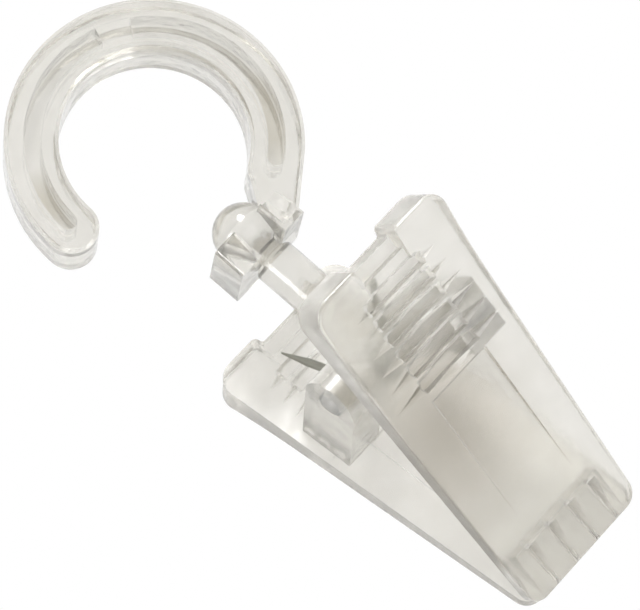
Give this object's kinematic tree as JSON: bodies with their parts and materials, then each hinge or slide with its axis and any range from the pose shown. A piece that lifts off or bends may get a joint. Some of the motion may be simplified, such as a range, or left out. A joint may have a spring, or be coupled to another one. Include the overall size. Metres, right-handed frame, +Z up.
{
  "type": "curtain clip with swivel hook",
  "caption": "Clear plastic curtain clip: an open hook for a rod, a swivel pin and two sprung levers whose jaws grip the fabric.",
  "frame": {"origin": "centre of the hook's ring, on the axis of the rod it hangs on", "axes": "+Z up along the swivel pin, +Y along the rod, hook in the XZ plane with its mouth at -X, front lever at -Y"},
  "size_m": [0.0254, 0.0297, 0.0625],
  "materials": {
    "clear_plastic": "clear moulded plastic",
    "spring_steel": "drawn wire"
  },
  "bodies": {
    "hook_body": {"hook": "clear_plastic"},
    "pin_body": {"swivel_pin": "clear_plastic"},
    "rear_body": {"rear_lever": "clear_plastic", "torsion_spring": "spring_steel"},
    "front_body": {"front_lever": "clear_plastic"}
  },
  "joints": [
    {"name": "swivel", "type": "hinge", "parent": "hook_body", "child": "pin_body", "pos_m": [-0.00045, 0, -0.01055], "axis": [0, 0, 1], "continuous": true},
    {"name": "swing", "type": "hinge", "parent": "pin_body", "child": "rear_body", "pos_m": [-0.00045, 0, -0.02595], "axis": [0.9925, 0.1219, 0], "range_deg": [-20, 1]},
    {"name": "squeeze", "type": "hinge", "parent": "rear_body", "child": "front_body", "pos_m": [-0.00045, 0, -0.02595], "axis": [-0.9925, -0.1219, 0], "range_deg": [0, 22], "stiffness_Nm_per_rad": 0.02, "springref_deg": -28.65, "deforming": ["torsion_spring"]}
  ]
}
